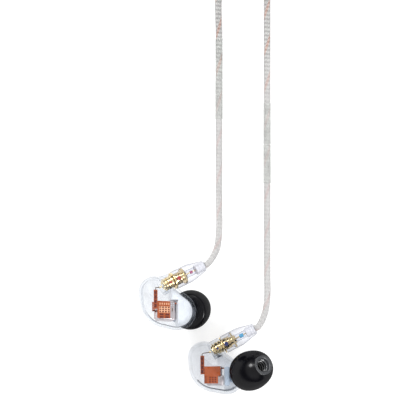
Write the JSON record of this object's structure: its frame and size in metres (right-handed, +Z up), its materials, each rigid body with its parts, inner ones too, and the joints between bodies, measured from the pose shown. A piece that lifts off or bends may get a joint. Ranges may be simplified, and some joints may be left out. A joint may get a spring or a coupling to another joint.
{
  "type": "in-ear monitors",
  "caption": "Clear-shelled in-ear monitors with foam tips, swivelling coaxial connectors and a detachable twisted cable wound in a tied coil, ending in a stereo plug.",
  "frame": {"origin": "centre of the bottom of the two monitors with their connector housings, without the cable", "axes": "+Z up from the surface the pair lies on; +Y from the monitors along the cable run; +X from the right-ear monitor to the left-ear monitor, across the cable run"},
  "size_m": [0.0473, 0.1688, 0.0256],
  "materials": {
    "clear_shell": "polished clear moulding",
    "clear_housing": "polished clear moulding",
    "white_plastic": "moulded, semi-matt",
    "steel": "deep-drawn can, satin",
    "boot_rubber": "soft moulded",
    "copper_film": "polyimide film over copper",
    "gold": "gold plated",
    "foam": "slow-recovery foam with a smooth skin",
    "tip_core": "moulded",
    "red_mark": "paint-filled",
    "blue_mark": "paint-filled",
    "clear_cable": "twisted silver-plated wires in a clear jacket",
    "clear_sleeve": "clear heat-shrink",
    "black_plastic": "fine texture",
    "tie_fabric": "woven hook-and-loop"
  },
  "bodies": {
    "cable": {"right_plug_barrel": "gold", "right_plug_insulator": "white_plastic", "right_plug_pin": "gold", "right_connector_housing": "clear_housing", "right_channel_dot": "red_mark", "left_plug_barrel": "gold", "left_plug_insulator": "white_plastic", "left_plug_pin": "gold", "left_connector_housing": "clear_housing", "left_channel_dot": "blue_mark", "right_branch_lead": "clear_cable", "left_branch_lead": "clear_cable", "right_branch_coil": "clear_cable", "left_branch_coil": "clear_cable", "right_branch_tail": "clear_cable", "left_branch_tail": "clear_cable", "main_lead": "clear_cable", "main_coil": "clear_cable", "main_tail": "clear_cable", "right_wire_crimp_sleeve": "clear_sleeve", "right_wire_end_sleeve": "clear_sleeve", "left_wire_crimp_sleeve": "clear_sleeve", "left_wire_end_sleeve": "clear_sleeve", "y_split": "black_plastic", "cable_tie": "tie_fabric", "stereo_plug_relief": "black_plastic", "stereo_plug_body": "black_plastic", "stereo_plug_insulator": "black_plastic", "stereo_plug_sleeve": "gold", "stereo_plug_ring": "gold", "stereo_plug_tip": "gold"},
    "cable_slider": {"cable_slider": "clear_housing"},
    "right_snap_ring": {"right_snap_ring": "gold"},
    "right_monitor": {"right_outer_shell": "clear_shell", "right_inner_shell": "clear_shell", "right_nozzle": "white_plastic", "right_nozzle_filter": "steel", "right_tweeter": "steel", "right_woofer": "steel", "right_sound_boot": "boot_rubber", "right_flex_circuit": "copper_film", "right_jack_barrel": "gold", "right_jack_insulator": "white_plastic", "right_jack_contact": "gold"},
    "right_ear_tip": {"right_ear_foam": "foam", "right_ear_core": "tip_core"},
    "left_snap_ring": {"left_snap_ring": "gold"},
    "left_monitor": {"left_outer_shell": "clear_shell", "left_inner_shell": "clear_shell", "left_nozzle": "white_plastic", "left_nozzle_filter": "steel", "left_tweeter": "steel", "left_woofer": "steel", "left_sound_boot": "boot_rubber", "left_flex_circuit": "copper_film", "left_jack_barrel": "gold", "left_jack_insulator": "white_plastic", "left_jack_contact": "gold"},
    "left_ear_tip": {"left_ear_foam": "foam", "left_ear_core": "tip_core"}
  },
  "joints": [
    {"name": "right_swivel", "type": "hinge", "parent": "cable", "child": "right_snap_ring", "pos_m": [-0.0102, 0.0147, 0.01726], "axis": [0.8419, 0.4034, -0.3584], "continuous": true},
    {"name": "right_unplug", "type": "slide", "parent": "right_snap_ring", "child": "right_monitor", "axis": [-0.8419, -0.4034, 0.3584], "range_m": [0, 0.006]},
    {"name": "right_tip_pull", "type": "slide", "parent": "right_monitor", "child": "right_ear_tip", "axis": [0.2029, 0.0972, -0.9744], "range_m": [0, 0.009]},
    {"name": "left_swivel", "type": "hinge", "parent": "cable", "child": "left_snap_ring", "pos_m": [0.00515, -0.0056, 0.005], "axis": [0.8862, 0.4633, 0], "range_deg": [-75, 105]},
    {"name": "left_unplug", "type": "slide", "parent": "left_snap_ring", "child": "left_monitor", "axis": [-0.8862, -0.4633, 0], "range_m": [0, 0.006]},
    {"name": "left_tip_pull", "type": "slide", "parent": "left_monitor", "child": "left_ear_tip", "axis": [0.4956, 0.2591, 0.829], "range_m": [0, 0.009]},
    {"name": "slider_travel", "type": "slide", "parent": "cable", "child": "cable_slider", "axis": [1, 0, 0], "range_m": [0, 0.008]}
  ]
}
